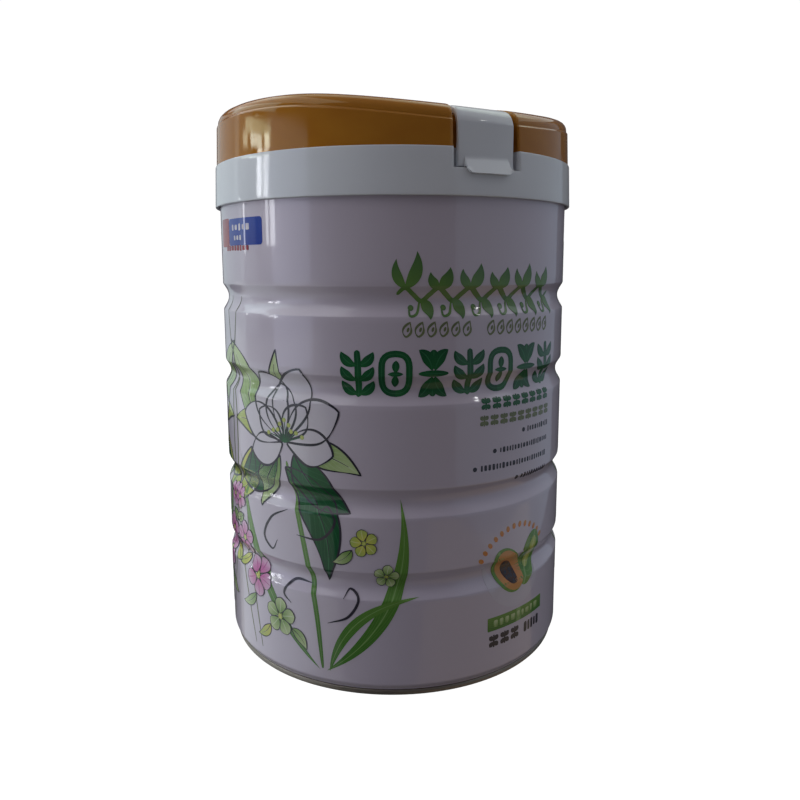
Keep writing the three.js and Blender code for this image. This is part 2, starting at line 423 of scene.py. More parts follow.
@dataclass(frozen=True)
class MouldedWhite:
    """Semi-gloss white plastic."""

    white: Colour = (0.71, 0.73, 0.755)
    shade: Colour = (0.68, 0.70, 0.73)

    def material(self) -> Material:
        """A slow drift of white, faint flow marks, and a fine moulded grain."""
        nodes = Nodes(bpy.data.materials.new("moulded_white"))
        nodes.set(
            Base_Color=nodes.mixed(nodes.ranged(nodes.noise(26.0, 3.0), (0.35, 0.7)), self.white, self.shade),
            Roughness=nodes.ranged(nodes.noise(90.0, 4.0, distortion=0.4), (0.3, 0.7), (0.07, 0.12)),
            IOR=1.49,
            Subsurface_Weight=0.06,
            Subsurface_Radius=(0.004, 0.004, 0.004),
            Subsurface_Scale=0.3,
        )
        grain = nodes.math("MULTIPLY", nodes.noise(1500.0, 2.0), 0.12)
        nodes.bump(nodes.math("ADD", grain, nodes.noise(70.0, 1.0)), 0.00009, 0.3)
        return nodes.owner


@dataclass(frozen=True)
class MouldedAmber:
    """Glossy golden-brown plastic."""

    amber: Colour = (0.43, 0.170, 0.016)
    deep: Colour = (0.37, 0.135, 0.012)

    def material(self) -> Material:
        """A slow drift of colour, long faint flow lines, and hairline scratches from handling."""
        nodes = Nodes(bpy.data.materials.new("moulded_amber"))
        drift = nodes.ranged(nodes.noise(30.0, 3.0, distortion=0.5), (0.35, 0.7))
        scratch = nodes.ranged(nodes.noise(240.0, 2.0, (1.0, 0.06, 1.0), 0.3), (0.62, 0.7))
        gloss = nodes.ranged(nodes.noise(80.0, 4.0), (0.3, 0.7), (0.05, 0.09))
        nodes.set(
            Base_Color=nodes.mixed(drift, self.amber, self.deep),
            Roughness=nodes.math("ADD", gloss, nodes.math("MULTIPLY", scratch, 0.06)),
            IOR=1.5,
            Specular_IOR_Level=0.46,
            Specular_Tint=(1.0, 0.96, 0.68),
        )
        cut = nodes.math("MULTIPLY", scratch, -0.1)
        nodes.bump(nodes.math("ADD", cut, nodes.noise(46.0, 1.0)), 0.00005, 0.3)
        return nodes.owner


# The tin


@dataclass
class Can:
    """The can's body: a straight wall with four rolled beads, drawn in over the base seam."""

    radius: float = 63.5
    height: float = 165.0
    bead_height: float = 9.3
    bead_depth: float = 1.9
    bead_power: float = 1.3
    bead_offsets: tuple[float, ...] = (-44.9, -17.8, 17.8, 44.9)
    neck_radius: float = 62.1
    neck_top: float = 4.9
    foot: float = 2.3
    underside: float = 5.1
    underside_radii: Pair = (59.8, 60.3)
    gap: float = 0.3
    columns: int = 224
    wall_rows: int = 60
    bead_rows: int = 31
    neck_rows: int = 16
    closest_rows: float = 0.06

    def wall_radius(self, height: Array) -> Array:
        """The wall's radius at heights: less depth (1 - t^2)^power in a bead, where t is -1 to 1."""
        depth = np.zeros_like(height)
        for offset in self.bead_offsets:
            place = (height - self.height / 2 - offset) / (self.bead_height / 2)
            depth = depth + self.bead_depth * np.clip(1 - place**2, 0.0, 1.0) ** self.bead_power
        return self.radius - depth

    def cover_radius(self, height: Array, reach: float = 0.1) -> Array:
        """The greatest wall radius within reach of each height, which clears the beads' edges."""
        return np.maximum(self.wall_radius(height - reach), self.wall_radius(height + reach))

    def heights(self) -> Array:
        """Heights of the wall's rows, close together in the beads."""
        rows = [np.linspace(self.neck_top, self.height - 1.0, self.wall_rows)]
        turn = np.sin(np.linspace(-math.pi / 2, math.pi / 2, self.bead_rows))
        rows += [self.height / 2 + offset + turn * self.bead_height / 2 for offset in self.bead_offsets]
        levels = np.sort(np.concatenate(rows))
        return levels[np.concatenate([[True], np.diff(levels) > self.closest_rows])]

    def build(self, finish: Material) -> Object:
        """The closed body, turned from the neck's cubic curve, the beaded wall and flat ends."""
        t = np.linspace(0.0, 1.0, self.neck_rows + 1)[:-1, None]
        a, b, c, d = np.array([(self.neck_radius, self.foot), (self.neck_radius + 0.1, self.foot + 0.8),
                               (self.radius, self.neck_top - 1.2), (self.radius, self.neck_top)])
        neck = (1 - t) ** 3 * a + 3 * t * (1 - t) ** 2 * b + 3 * t**2 * (1 - t) * c + t**3 * d
        levels = self.heights()
        inner, outer = self.underside_radii
        top = self.height - self.gap
        base = [(0.0, self.underside), (inner, self.underside), (outer, self.foot)]
        lid = [(self.radius - 0.2, self.height - 0.6), (self.radius - 0.7, top), (0.0, top)]
        outline = np.concatenate([base, neck, joined(self.wall_radius(levels), levels), lid])
        made = grid_object("can_wall", turned(outline, even_angles(self.columns)), finish)
        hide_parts("can_body")
        return made


@dataclass
class BaseSeam:
    """The base: a rolled seam that stands on the floor round a raised panel with a bead."""

    seam_radius: float = 62.3
    seam_height: float = 2.05
    inner_radius: float = 59.7
    panel: float = 3.6
    thickness: float = 1.2
    bead_radii: tuple[float, ...] = (41.0, 41.8, 46.2, 47.0)
    bead_depth: float = 0.8
    wall_radii: tuple[float, ...] = (57.4, 58.6, 58.9)
    reach: Reach = (0, 0.5, 0.5, 0.5, 0.5, 0.6, 0.6, 1.1, (1.1, 1.0), 0.8, 0.1, 0.1, 0)
    spans: tuple[int, ...] = (6, 1, 2, 1, 3, 1, 1, 1, 1, 1, 1, 2)
    columns: int = 192

    def build(self, finish: Material) -> Object:
        """The closed base, turned from one rounded outline."""
        a, b, c, d = self.bead_radii
        end, bend, foot = self.wall_radii
        panel, low, high = self.panel, self.panel - self.bead_depth, self.panel + self.thickness
        corners = [(0, panel), (a, panel), (b, low), (c, low), (d, panel), (end, panel), (bend, panel - 1.0),
                   (foot, 0.0), (self.seam_radius, 0.0), (self.seam_radius, self.seam_height),
                   (self.inner_radius + 0.2, self.seam_height), (self.inner_radius - 0.3, high), (0, high)]
        outline = softened(corners, self.reach, self.spans)
        made = grid_object("base_seam", turned(outline, even_angles(self.columns)), finish)
        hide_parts("base_end")
        return made


@dataclass
class SideSeam:
    """The welded lap down the back of the can, in a strip that no ink covers."""

    can: Can
    columns: tuple[float, ...] = (-2.6, -1.6, -0.55, -0.4, 0.4, 0.55, 1.6, 2.6)
    raised: tuple[float, ...] = (0.0, 0.0, 0.0, 0.14, 0.14, 0.0, 0.0, 0.0)
    lift: float = 0.05
    film: float = 0.1

    def build(self, finish: Material) -> Object:
        """A thin strip that follows the beads, the lap standing up along its middle."""
        levels = self.can.heights()[:, None]
        radius = self.can.wall_radius(levels) + self.lift + np.array(self.raised)
        angles = math.pi + np.array(self.columns) / self.can.radius
        made = grid_object("side_seam", turned_points(radius, levels, angles), finish)
        thicken(made, self.film)
        return made


@dataclass
class Overcap:
    """The sizes that the collar, cover, latch and hinge share."""

    latch_angle: float = math.radians(26.6)
    opening_half: float = math.radians(10.55)
    back_radius: float = 61.4
    strap_radius: float = 63.45
    strap_back: float = 61.7
    strap_foot: float = 167.0
    cover_base: float = 172.6
    crease: float = 186.4
    top: float = 190.56
    dip_angle: float = math.radians(27.9)
    dip_slope: float = 0.237
    dip_start: float = 38.8
    dip_blend: float = 14.5
    wall_columns: int = 216
    opening_columns: int = 12
    opening_margin: float = 1.2

    def lowered(self, points: Array) -> Array:
        """Points sunk towards the front, in full above the crease and not at all at the cover's foot.

        The sink is slope / 2 (f + sqrt(f^2 + blend^2)), f being how far a point lies beyond the start of
        the dip in the dip's direction.
        """
        x, y, z = np.moveaxis(points, -1, 0)
        forward = x * math.sin(self.dip_angle) - y * math.cos(self.dip_angle) - self.dip_start
        sink = self.dip_slope * 0.5 * (forward + np.hypot(forward, self.dip_blend))
        share = np.clip((z - self.cover_base) / (self.crease - self.cover_base), 0.0, 1.0)
        return joined(x, y, z - share * sink)

    def columns(self, depth: float, radii: Pair) -> tuple[Array, Array]:
        """Columns once round a wall that is cut in for the latch and, half a turn on, for the hinge.

        Args:
            depth: How deep both openings are cut in.
            radii: The wall's radius at the latch and at the hinge.

        Returns:
            The angles in order, and each opening's share at every angle.
        """
        angles = even_angles(self.wall_columns)
        shares = np.zeros((len(radii), len(angles)))
        for number, radius in enumerate(radii):
            step = SoftStep(self.opening_half, depth, radius)
            middle = (self.latch_angle + number * math.pi + math.pi) % TURN - math.pi
            keep = np.abs(angles - middle) > step.half + self.opening_margin * step.outer / radius
            offset, share = step.columns(self.opening_columns)
            extra = np.zeros((len(radii), len(share)))
            extra[number] = share
            angles = np.concatenate([angles[keep], middle + offset])
            shares = np.concatenate([shares[:, keep], extra], axis=1)
        order = np.argsort(angles, kind="stable")
        return angles[order], shares[:, order]


@dataclass
class Collar:
    """The white ring: a shallow cap on the can, flared to its foot, notched for latch and hinge."""

    overcap: Overcap
    base: float = 158.45
    top: float = 172.6
    base_radius: float = 65.11
    top_radius: float = 64.62
    inner_radius: float = 63.8
    inner_top: float = 165.0
    notch_floor: float = 166.6
    notch_depth: float = 3.0
    notch_radius: float = 64.4
    spans: tuple[int, ...] = (2, 2, 1, 5, 1, 4, 3)

    def build(self, finish: Material) -> Object:
        """The closed ring: at each angle its outline lies between the full one and the notched one."""
        back, floor, top = self.overcap.back_radius, self.notch_floor, self.top
        angles, shares = self.overcap.columns(self.notch_depth, (self.notch_radius, self.notch_radius))
        slope = (self.base_radius - self.top_radius) / (top - self.base)
        at_floor = self.base_radius - slope * (floor - self.base)
        foot = [(0, self.inner_top), (self.inner_radius, self.inner_top),
                (self.inner_radius + 0.1, self.base), (self.base_radius, self.base)]
        full = [*foot, (at_floor, floor - 0.05), (at_floor, floor + 0.05), (self.top_radius, top), (0, top)]
        cut = [*foot, (at_floor, floor), (back, floor), (back, top), (0, top)]
        whole = softened(full, [0, 0.3, 0.35, 0.45, 0.02, 0.02, 0.4, 0], self.spans)
        notched = softened(cut, [0, 0.3, 0.35, 0.45, 0.25, 0.2, 0.3, 0], self.spans)
        points = turned(blended(whole, (shares.sum(axis=0), notched)), angles)
        made = grid_object("collar", points, finish)
        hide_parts("collar_ring")
        return made


@dataclass
class Cover:
    """The amber cover: upright wall, crease, rounded shoulder and a dished top that dips to the latch."""

    overcap: Overcap
    base_radius: float = 64.2
    crease_radius: float = 63.75
    ledge: float = 0.45
    draft: float = 0.0332
    shoulder_width: float = 5.8
    channel_floor: float = 188.25
    channel_end: float = 45.9
    hinge_top: float = 177.7
    dish_radius: float = 43.5
    dish_depth: float = 0.8
    dish_middle: float = 28.0
    opening_depth: float = 2.8
    opening_radii: Pair = (64.0, 64.2)
    reach: Reach = (0, 0.1, 0.02, 0.02, 0.22, 0.15, (3.5, 5.5), (0.3, 2.5), 0.05, 0.05, 0.45, 0.45, 2, 0)
    channel_reach: Reach = (0, 0.2, 0.02, 0.02, 0.1, 0.1, 0.6, 0.8, 0.25, 0.35, 0.45, 0.45, 2, 0)
    spans: tuple[int, ...] = (3, 4, 1, 6, 1, 1, 1, 8, 1, 2, 1, 7, 9)

    def build(self, finish: Material) -> Object:
        """The closed cover: its outline is the full one, with a share of the latch's or hinge's opening."""
        cap, low, split = self.overcap, self.overcap.cover_base, self.hinge_top
        back, crease, top = cap.back_radius, cap.crease, cap.top
        angles, (by_latch, by_hinge) = cap.columns(self.opening_depth, self.opening_radii)
        wall = self.base_radius - self.draft * (split - low)
        shoulder = self.crease_radius - self.shoulder_width
        inner = self.crease_radius - self.ledge
        end, floor, sunk = self.channel_end, self.channel_floor, top - self.dish_depth
        dish = [(self.dish_radius, top), (self.dish_radius - self.dish_depth, sunk), (self.dish_middle, sunk),
                (0.0, sunk)]
        full = [(0, low), (self.base_radius, low), (wall, split - 0.05), (wall, split + 0.05),
                (self.crease_radius, crease - 0.25), (inner, crease + 0.25), (inner, top - 0.1),
                (shoulder, top), (end + 0.3, top), (end - 0.3, top), *dish]
        by_strap = [(0, low), (back, low), (back, split - 0.05), (back, split + 0.05), (back, crease - 2.0),
                    (back, crease - 1.6), (back - 1.4, crease + 1.2), (shoulder - 1.8, floor), (end, floor),
                    (end, top), *dish]
        by_plate = [(0, low), (back, low), (back, split), (wall, split), *full[4:]]
        outline = blended(softened(full, self.reach, self.spans),
                          (by_latch, softened(by_strap, self.channel_reach, self.spans)),
                          (by_hinge, softened(by_plate, self.reach, self.spans)))
        made = grid_object("cover", cap.lowered(turned(outline, angles)), finish)
        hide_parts("amber_cover")
        return made


def plate_points(outer: Array, inner: Array, angles: Array, middle: float, rim: float) -> Array:
    """The closed skin of a bent plate whose long edges are rounded.

    At each angle the skin is the loop of the outer line and, backwards, the inner line. Near the plate's
    first and last angle both lines draw together to their middle line by (1 - t^3)^(1/3), t being 0 where
    the rounding starts and 1 at the end.

    Args:
        outer: Outer (radius, height) line for each point along it and each angle.
        inner: Inner line, point for point.
        angles: Angles from the plate's middle.
        middle: The plate's middle angle.
        rim: The angle over which an edge is rounded.

    Returns:
        Points by loop place, by angle and by axis.
    """
    t = np.clip((np.abs(angles) - (np.abs(angles).max() - rim)) / rim, 0.0, 1.0)
    open_share = ((1 - t**3) ** (1 / 3))[None, :, None]
    centre = (outer + inner) / 2
    out, back = (centre + (line - centre) * open_share for line in (outer, inner))
    return turned(np.concatenate([out, back[::-1], out[:1]]), middle + angles)


def rim_angles(half: float, rim: float, inside: Array) -> Array:
    """Angles across a plate: eight steps close together at each rounded edge, and these ones inside."""
    edge = half - rim * (1 - np.sin(quarter_turn(8)))
    return np.concatenate([-edge[::-1], inside, edge])


@dataclass
class Latch:
    """The white strap over the cover's wall and shoulder, with a hooked tab in front of the collar."""

    overcap: Overcap
    half: float = math.radians(9.2)
    tab_foot: float = 164.9
    tab_radius: float = 66.2
    tab_inner: float = 65.05
    tab_corner: float = 2.0
    tab_step: SoftStep = SoftStep(math.radians(7.1), 2.6, 66.0, 0.35, 0.3)
    tab_columns: int = 14
    wall_start: float = 170.6
    shoulder_radii: Pair = (58.75, 57.25)
    foot_radii: tuple[float, ...] = (62.6, 62.3, 62.0)
    top: float = 190.3
    underside: float = 188.55
    tip: float = 46.2
    rim_width: float = 0.9
    spans: tuple[int, ...] = (1, 2, 2, 1, 8, 1, 1, 6, 1)

    def build(self, finish: Material) -> Object:
        """The closed latch: at each angle its lines lie between the strap's own and the tab's."""
        cap, spans = self.overcap, self.spans
        r, b, f, z = cap.strap_radius, cap.strap_back, cap.strap_foot, cap.crease
        inside, share = self.tab_step.columns(self.tab_columns)
        rim = self.rim_width / r
        angles = rim_angles(self.half, rim, inside)
        share = np.pad(share, (len(angles) - len(inside)) // 2)
        top, low, under = self.top, self.tab_foot, self.underside
        tip, mid = (self.tip, (top + under) / 2), (self.tab_radius + self.tab_inner) / 2
        over, below = self.shoulder_radii
        start, second, third = self.foot_radii
        rise = [(r, self.wall_start), (r, z), (r - 1.4, z + 3.6), (over, top), (self.tip, top), tip]
        back = [(b, self.wall_start), (b, z - 1.6), (b - 1.2, z + 1.0), (below, under), (self.tip, under),
                tip]
        outside, behind = (0.3, 0.6, (2.6, 3.0), (0.4, 2.0), 0.4, 0), (0.3, 0.6, 0.6, 0.8, 0.4, 0)
        tab_foot = [(mid, low), (self.tab_radius, low), (self.tab_radius - 0.8, f - 0.6), (r, f + 2.6)]
        tab_out = softened([*tab_foot, *rise], [0, 0.3, (1.3, 2.0), 0.8, *outside], spans)
        tab_in = softened([(mid, low), (self.tab_inner, low), (self.tab_inner, f), (b, f), *back],
                          [0, 0.35, 0.2, 0.3, *behind], spans)
        strap_out = softened([(start, f), (r, f), (r, f + 1.0), (r, f + 2.0), *rise],
                             [0, 0.5, 0.02, 0.02, *outside], spans)
        strap_in = softened([(start, f), (second, f), (third, f), (b, f), *back],
                            [0, 0.02, 0.02, 0.2, *behind], spans)
        outer, inner = blended(strap_out, (share, tab_out)), blended(strap_in, (share, tab_in))
        points = plate_points(outer, inner, angles, cap.latch_angle, rim)
        from_edge = (self.tab_step.half - np.abs(angles)) * self.tab_radius
        corner = np.clip(1 - from_edge / self.tab_corner, 0.0, 1.0)
        sunk = np.clip((f - points[..., 2]) / (f - low), 0.0, 1.0)
        points[..., 2] += sunk * self.tab_corner * (1 - np.sqrt(1 - corner**2))
        made = grid_object("latch", cap.lowered(points), finish)
        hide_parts("latch_strap")
        return made


@dataclass
class Hinge:
    """The white plate at the back, with the thin line that it bends along."""

    overcap: Overcap
    half: float = math.radians(10.2)
    line: float = 172.75
    groove: float = 0.7
    top: float = 177.4
    rim_width: float = 0.8
    columns: int = 12
    spans: tuple[int, ...] = (1, 3, 1, 1, 3, 1)

    def build(self, finish: Material) -> Object:
        """The closed plate, with a V groove across its front."""
        cap = self.overcap
        r, b, f, top = cap.strap_radius, cap.strap_back, cap.strap_foot, self.top
        mid, under, over = (r + b) / 2, self.line - self.groove, self.line + self.groove
        front = [(mid, f), (r, f), (r, under), (r - self.groove, self.line), (r, over), (r, top), (mid, top)]
        rear = [(mid, f), (b, f), (b, under), (b, self.line), (b, over), (b, top), (mid, top)]
        outer = softened(front, [0, 0.4, 0.2, 0.2, 0.2, 0.5, 0], self.spans, 4)
        inner = softened(rear, [0, 0.3, 0.1, 0.1, 0.1, 0.3, 0], self.spans, 4)
        rim = self.rim_width / r
        inside = np.linspace(-self.half + rim, self.half - rim, self.columns + 2)[1:-1]
        points = plate_points(outer[:, None], inner[:, None], rim_angles(self.half, rim, inside),
                              cap.latch_angle + math.pi, rim)
        made = grid_object("hinge", points, finish)
        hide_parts("hinge_plate")
        return made


# The print


class Tone(Enum):
    """The inks, from pale to dark."""

    PALE = Ink("ink_pale", (0.68, 0.64, 0.68), (0.60, 0.56, 0.62))
    MIST = Ink("ink_mist", (0.545, 0.515, 0.585), (0.57, 0.535, 0.605))
    YELLOW = Ink("ink_yellow", (0.56, 0.55, 0.10), (0.36, 0.46, 0.10), (0.62, 0.62, 0.30))
    SPRING = Ink("ink_spring", (0.16, 0.30, 0.06), (0.46, 0.56, 0.28), (0.55, 0.62, 0.40))
    LEAF = Ink("ink_leaf", (0.05, 0.17, 0.022), (0.12, 0.26, 0.045), (0.24, 0.40, 0.14))
    TITLE = Ink("ink_title", (0.12, 0.235, 0.055), (0.08, 0.17, 0.055))
    PINE = Ink("ink_pine", (0.014, 0.115, 0.034), (0.010, 0.078, 0.030), (0.04, 0.18, 0.075))
    OLIVE = Ink("ink_olive", (0.18, 0.205, 0.10), (0.14, 0.165, 0.085))
    PINK = Ink("ink_pink", (0.55, 0.14, 0.36), (0.62, 0.40, 0.56), (0.42, 0.07, 0.26))
    ORANGE = Ink("ink_orange", (0.62, 0.20, 0.045), (0.56, 0.26, 0.08))
    RED = Ink("ink_red", (0.30, 0.012, 0.030), (0.26, 0.012, 0.045))
    BLUE = Ink("ink_blue", (0.014, 0.045, 0.30), (0.016, 0.055, 0.34))
    BROWN = Ink("ink_brown", (0.075, 0.03, 0.014), (0.04, 0.016, 0.01))
    LINE = Ink("ink_line", (0.028, 0.026, 0.036), (0.042, 0.038, 0.052))


@dataclass
class Patch:
    """A grid of places on the unrolled wall, with a pattern place (0 to 1, 0 to 1) for each."""

    places: Array
    lay: Array

    def moved(self, across: float, mirror: bool) -> "Patch":
        """The patch set down further along the wall, turned over left to right if asked."""
        turned_over = self.places * np.array([-1.0 if mirror else 1.0, 1.0])
        return Patch(turned_over + np.array([across, 0.0]), self.lay)


def ray(centre: Place, angle: float, near: float, far: float) -> tuple[Array, Array]:
    """Two places in a direction from a centre, one near it and one far."""
    way = np.array([math.cos(angle), math.sin(angle)])
    return np.array(centre) + near * way, np.array(centre) + far * way


def steps_for(length: float, pitch: float = 0.5, least: int = 6) -> int:
    """How many points a length needs to follow the beads."""
    return max(least, int(math.ceil(length / pitch)) + 1)


def along_line(line: Array, half_widths: Array, columns: int) -> Patch:
    """A band along a line: each point moved to both sides, square to the line, by its half width."""
    step = np.gradient(line, axis=0)
    square = np.stack([-step[:, 1], step[:, 0]], axis=1) / np.maximum(np.hypot(*step.T), TINY)[:, None]
    sides = np.linspace(-1.0, 1.0, columns)
    places = line[:, None, :] + (half_widths[:, None] * sides)[..., None] * square[:, None, :]
    return Patch(places, joined((sides + 1) / 2, np.linspace(0.0, 1.0, len(line))[:, None]))


def leaf(base: Place, tip: Place, width: float, bow: float = 0.0, fat: float = 0.8,
         blunt: float = 1.0) -> Patch:
    """A leaf or petal.

    Its middle line is a quadratic curve that stands off by bow times the length. Its half width is
    width / 2 times sin(pi t^fat)^blunt: fat moves the widest place, and a small blunt rounds the ends.

    Args:
        base: Where it starts.
        tip: Where it ends.
        width: Widest place.
        bow: Sideways stand-off of the middle line, as a share of the length.
        fat: Power on t: under 1 the widest place is near the base, over 1 near the tip.
        blunt: Power on the sine.

    Returns:
        The patch, its pattern's second coordinate running from base to tip.
    """
    start, end = np.array(base, float), np.array(tip, float)
    way = end - start
    side = np.array([-way[1], way[0]])
    count = steps_for(float(np.hypot(*way)) * (1 + abs(bow)))
    line = bezier(start, (start + end) / 2 + 2 * bow * side, end, count)
    half = width / 2 * np.sin(math.pi * np.linspace(0.0, 1.0, count) ** fat).clip(0.0) ** blunt
    return along_line(line, half, steps_for(width, least=5))


def stroke(points: Sequence[Place], width: float, taper: float) -> Patch:
    """A brushed line through points, by a smooth curve, thinner at its ends.

    Its half width is width / 2 times sin(pi t)^taper, held to a fifth at least.
    """
    fixed = np.array(points, float)
    padded = np.concatenate([2 * fixed[:1] - fixed[1:2], fixed, 2 * fixed[-1:] - fixed[-2:-1]])
    parts = []
    for i, span in enumerate(np.hypot(*np.diff(fixed, axis=0).T)):
        a, b, c, d = padded[i: i + 4]
        t = np.linspace(0.0, 1.0, steps_for(float(span), least=4))[:-1, None]
        parts.append(0.5 * (2 * b + (c - a) * t + (2 * a - 5 * b + 4 * c - d) * t**2
                            + (3 * b - a - 3 * c + d) * t**3))
    line = np.concatenate([*parts, fixed[-1:]])
    shape = np.sin(np.linspace(0.0, math.pi, len(line))).clip(0.0) ** taper
    return along_line(line, width / 2 * np.maximum(shape, 0.2), 3)


def edge_of(shape: Patch, width: float) -> Patch:
    """A brushed line round a leaf or petal, from its base round the tip and back."""
    rim = np.concatenate([shape.places[:, 0], shape.places[-2::-1, -1]])
    t = np.linspace(0.0, 1.0, len(rim))
    return along_line(rim, width / 2 * (0.35 + 0.65 * np.abs(np.sin(TURN * t + 0.7))), 3)


def disc(centre: Place, across: float, up: float, turn: float = 0.0, lobes: int = 0,
         lobe: float = 0.0) -> Patch:
    """An ellipse as rings round its centre, turned, its rim waved by lobe in a number of lobes."""
    t = np.linspace(0.0, 1.0, steps_for(max(across, up), 0.6, 4))[:, None]
    angle = np.linspace(0.0, TURN, steps_for(3 * max(across, up), 0.7, 16) + 1)
    reach = t * (1 + lobe * np.cos(lobes * angle))
    x, y = reach * across * np.cos(angle), reach * up * np.sin(angle)
    places = joined(centre[0] + x * math.cos(turn) - y * math.sin(turn),
                    centre[1] + x * math.sin(turn) + y * math.cos(turn))
    return Patch(places, joined(0.5 + 0.5 * t * np.cos(angle), t))


def panel(centre: Place, width: float, height: float, corner: float) -> Patch:
    """A rectangle with rounded corners, as rows whose half width shrinks near both ends.

    Beyond the straight part a row's half width is width / 2 - (c - sqrt(c^2 - d^2)), c being the corner's
    radius and d how far the row lies in the corner.
    """
    corner = min(corner, width / 2, height / 2)
    turn = corner * np.sin(quarter_turn(4))
    straight = height / 2 - corner
    middle = np.linspace(-straight, straight, steps_for(2 * straight, 0.6, 2))
    level = np.concatenate([-straight - turn[:0:-1], middle, straight + turn[1:]])[:, None]
    deep = np.clip(np.abs(level) - straight, 0.0, corner)
    half = width / 2 - (corner - np.sqrt(np.maximum(corner**2 - deep**2, 0.0)))
    sides = np.linspace(-1.0, 1.0, steps_for(width, 2.2, 3))
    return Patch(joined(centre[0] + half * sides, centre[1] + level),
                 joined((sides + 1) / 2, (level + height / 2) / height))


def frame_line(centre: Place, width: float, height: float, corner: float, line: float) -> Patch:
    """A closed line round a rectangle with rounded corners."""
    x, y = width / 2, height / 2
    corners = [(0, -y), (x, -y), (x, y), (-x, y), (-x, -y), (0, -y)]
    spans = [steps_for(side, 0.6) for side in (x, height, width, height, x)]
    rim = softened(corners, [0, *[corner] * 4, 0], spans) + np.array(centre)
    return along_line(rim, np.full(len(rim), line / 2), 2)


